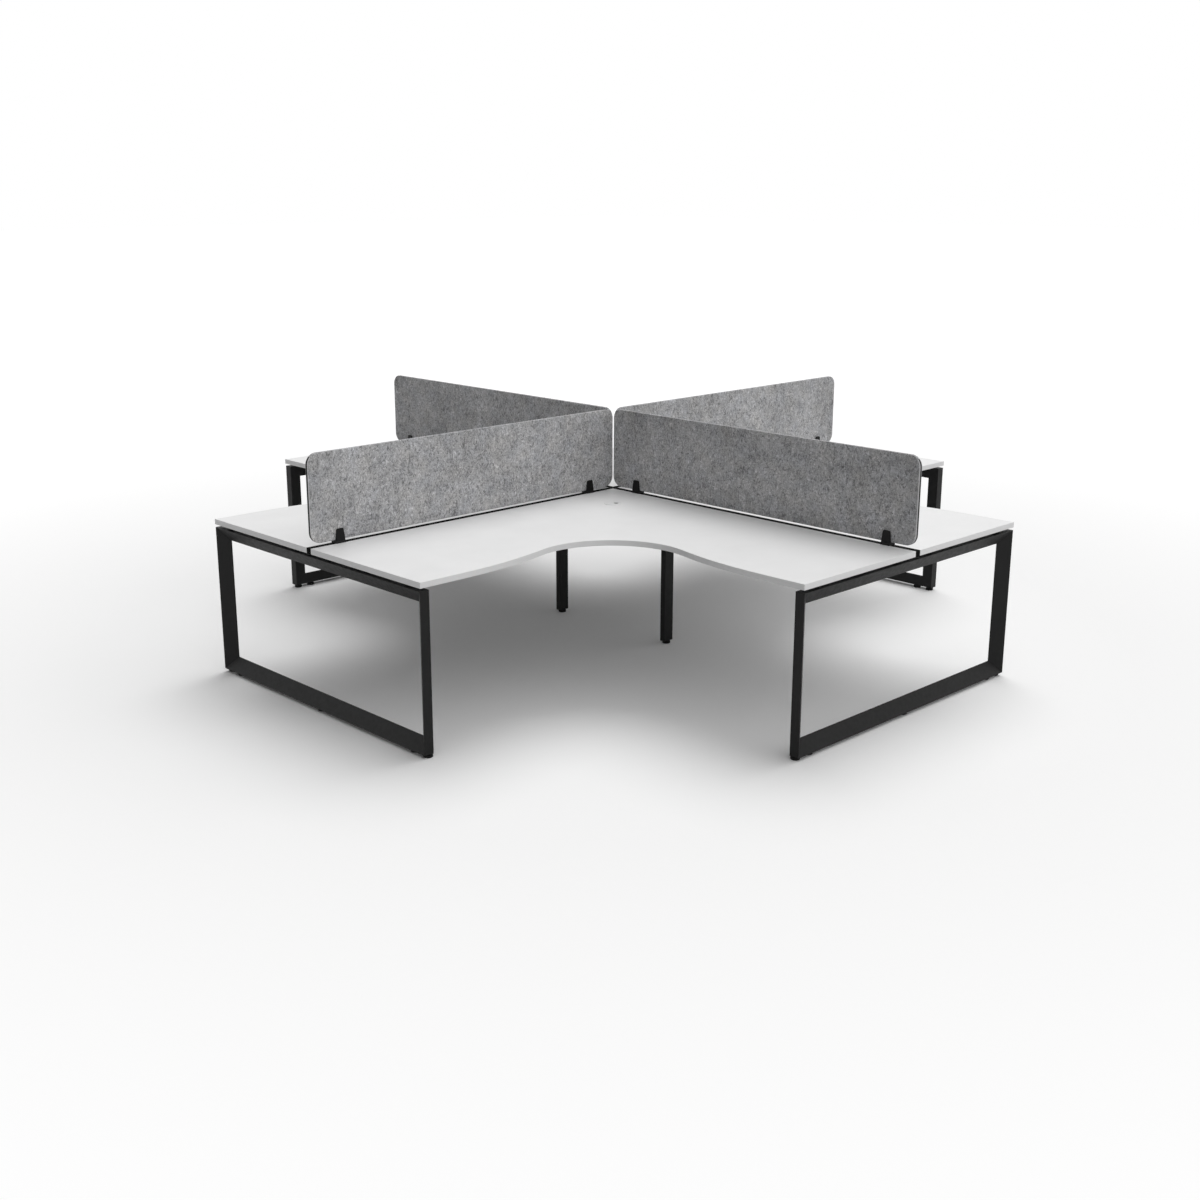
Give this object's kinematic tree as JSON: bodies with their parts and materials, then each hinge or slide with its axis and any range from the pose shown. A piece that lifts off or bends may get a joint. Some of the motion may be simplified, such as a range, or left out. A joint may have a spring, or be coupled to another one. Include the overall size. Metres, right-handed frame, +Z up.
{
  "type": "corner workstation pod",
  "caption": "Pod of L-shaped corner workstations with wave-front white tops, crossed grey felt screens, black loop legs and centre posts on levelling feet",
  "frame": {"origin": "floor level at the middle of the pod, where the screens cross", "axes": "+Z up, the four arms of the pod along +X, +Y, -X and -Y"},
  "size_m": [3.632, 3.632, 1.137],
  "materials": {
    "worktop": "satin white melamine",
    "port": "satin",
    "frame": "satin black",
    "cover": "satin",
    "screen": "pressed felt",
    "clamp": "satin",
    "foot": "satin",
    "spacer": "matte",
    "fastener": "zinc plated"
  },
  "bodies": {
    "frame": {"centre_post_east": "frame", "centre_post_west": "frame", "clamp_bolts": "fastener", "clamp_plates": "frame", "cross_rail_northeast": "frame", "cross_rail_northwest": "frame", "cross_rail_southeast": "frame", "cross_rail_southwest": "frame", "crosshead_east": "frame", "crosshead_west": "frame", "foot_inserts": "fastener", "frame_bolts": "fastener", "gap_cover_east": "cover", "gap_cover_north": "cover", "gap_cover_south": "cover", "gap_cover_west": "cover", "loop_leg_east": "frame", "loop_leg_north": "frame", "loop_leg_south": "frame", "loop_leg_west": "frame", "main_rail_north": "frame", "main_rail_south": "frame", "port_sleeves": "port", "screen_clamps": "clamp", "screen_east": "screen", "screen_north": "screen", "screen_south": "screen", "screen_west": "screen", "top_spacers": "spacer", "worktop_northeast": "worktop", "worktop_northwest": "worktop", "worktop_screws": "fastener", "worktop_southeast": "worktop", "worktop_southwest": "worktop"},
    "foot_east_1": {"foot_east_1": "foot"},
    "foot_east_2": {"foot_east_2": "foot"},
    "foot_east_3": {"foot_east_3": "foot"},
    "foot_east_4": {"foot_east_4": "foot"},
    "foot_east_5": {"foot_east_5": "foot"},
    "foot_north_1": {"foot_north_1": "foot"},
    "foot_north_2": {"foot_north_2": "foot"},
    "foot_north_3": {"foot_north_3": "foot"},
    "foot_north_4": {"foot_north_4": "foot"},
    "foot_north_5": {"foot_north_5": "foot"},
    "foot_post_east": {"foot_post_east": "foot"},
    "foot_post_west": {"foot_post_west": "foot"},
    "foot_south_1": {"foot_south_1": "foot"},
    "foot_south_2": {"foot_south_2": "foot"},
    "foot_south_3": {"foot_south_3": "foot"},
    "foot_south_4": {"foot_south_4": "foot"},
    "foot_south_5": {"foot_south_5": "foot"},
    "foot_west_1": {"foot_west_1": "foot"},
    "foot_west_2": {"foot_west_2": "foot"},
    "foot_west_3": {"foot_west_3": "foot"},
    "foot_west_4": {"foot_west_4": "foot"},
    "foot_west_5": {"foot_west_5": "foot"},
    "port_cap_northeast": {"port_cap_northeast": "port"},
    "port_cap_northwest": {"port_cap_northwest": "port"},
    "port_cap_southeast": {"port_cap_southeast": "port"},
    "port_cap_southwest": {"port_cap_southwest": "port"}
  },
  "joints": [
    {"name": "foot_east_1_height", "type": "slide", "parent": "frame", "child": "foot_east_1", "axis": [0, 0, -1], "range_m": [0, 0.01]},
    {"name": "foot_east_2_height", "type": "slide", "parent": "frame", "child": "foot_east_2", "axis": [0, 0, -1], "range_m": [0, 0.01]},
    {"name": "foot_east_3_height", "type": "slide", "parent": "frame", "child": "foot_east_3", "axis": [0, 0, -1], "range_m": [0, 0.01]},
    {"name": "foot_east_4_height", "type": "slide", "parent": "frame", "child": "foot_east_4", "axis": [0, 0, -1], "range_m": [0, 0.01]},
    {"name": "foot_east_5_height", "type": "slide", "parent": "frame", "child": "foot_east_5", "axis": [0, 0, -1], "range_m": [0, 0.01]},
    {"name": "foot_north_1_height", "type": "slide", "parent": "frame", "child": "foot_north_1", "axis": [0, 0, -1], "range_m": [0, 0.01]},
    {"name": "foot_north_2_height", "type": "slide", "parent": "frame", "child": "foot_north_2", "axis": [0, 0, -1], "range_m": [0, 0.01]},
    {"name": "foot_north_3_height", "type": "slide", "parent": "frame", "child": "foot_north_3", "axis": [0, 0, -1], "range_m": [0, 0.01]},
    {"name": "foot_north_4_height", "type": "slide", "parent": "frame", "child": "foot_north_4", "axis": [0, 0, -1], "range_m": [0, 0.01]},
    {"name": "foot_north_5_height", "type": "slide", "parent": "frame", "child": "foot_north_5", "axis": [0, 0, -1], "range_m": [0, 0.01]},
    {"name": "foot_post_east_height", "type": "slide", "parent": "frame", "child": "foot_post_east", "axis": [0, 0, -1], "range_m": [0, 0.01]},
    {"name": "foot_post_west_height", "type": "slide", "parent": "frame", "child": "foot_post_west", "axis": [0, 0, -1], "range_m": [0, 0.01]},
    {"name": "foot_south_1_height", "type": "slide", "parent": "frame", "child": "foot_south_1", "axis": [0, 0, -1], "range_m": [0, 0.01]},
    {"name": "foot_south_2_height", "type": "slide", "parent": "frame", "child": "foot_south_2", "axis": [0, 0, -1], "range_m": [0, 0.01]},
    {"name": "foot_south_3_height", "type": "slide", "parent": "frame", "child": "foot_south_3", "axis": [0, 0, -1], "range_m": [0, 0.01]},
    {"name": "foot_south_4_height", "type": "slide", "parent": "frame", "child": "foot_south_4", "axis": [0, 0, -1], "range_m": [0, 0.01]},
    {"name": "foot_south_5_height", "type": "slide", "parent": "frame", "child": "foot_south_5", "axis": [0, 0, -1], "range_m": [0, 0.01]},
    {"name": "foot_west_1_height", "type": "slide", "parent": "frame", "child": "foot_west_1", "axis": [0, 0, -1], "range_m": [0, 0.01]},
    {"name": "foot_west_2_height", "type": "slide", "parent": "frame", "child": "foot_west_2", "axis": [0, 0, -1], "range_m": [0, 0.01]},
    {"name": "foot_west_3_height", "type": "slide", "parent": "frame", "child": "foot_west_3", "axis": [0, 0, -1], "range_m": [0, 0.01]},
    {"name": "foot_west_4_height", "type": "slide", "parent": "frame", "child": "foot_west_4", "axis": [0, 0, -1], "range_m": [0, 0.01]},
    {"name": "foot_west_5_height", "type": "slide", "parent": "frame", "child": "foot_west_5", "axis": [0, 0, -1], "range_m": [0, 0.01]},
    {"name": "port_cap_northeast_turn", "type": "hinge", "parent": "frame", "child": "port_cap_northeast", "pos_m": [0.266, 0.266, 0.7355], "axis": [0, 0, 1], "continuous": true},
    {"name": "port_cap_northwest_turn", "type": "hinge", "parent": "frame", "child": "port_cap_northwest", "pos_m": [-0.266, 0.266, 0.7355], "axis": [0, 0, 1], "continuous": true},
    {"name": "port_cap_southeast_turn", "type": "hinge", "parent": "frame", "child": "port_cap_southeast", "pos_m": [0.266, -0.266, 0.7355], "axis": [0, 0, 1], "continuous": true},
    {"name": "port_cap_southwest_turn", "type": "hinge", "parent": "frame", "child": "port_cap_southwest", "pos_m": [-0.266, -0.266, 0.7355], "axis": [0, 0, 1], "continuous": true}
  ]
}
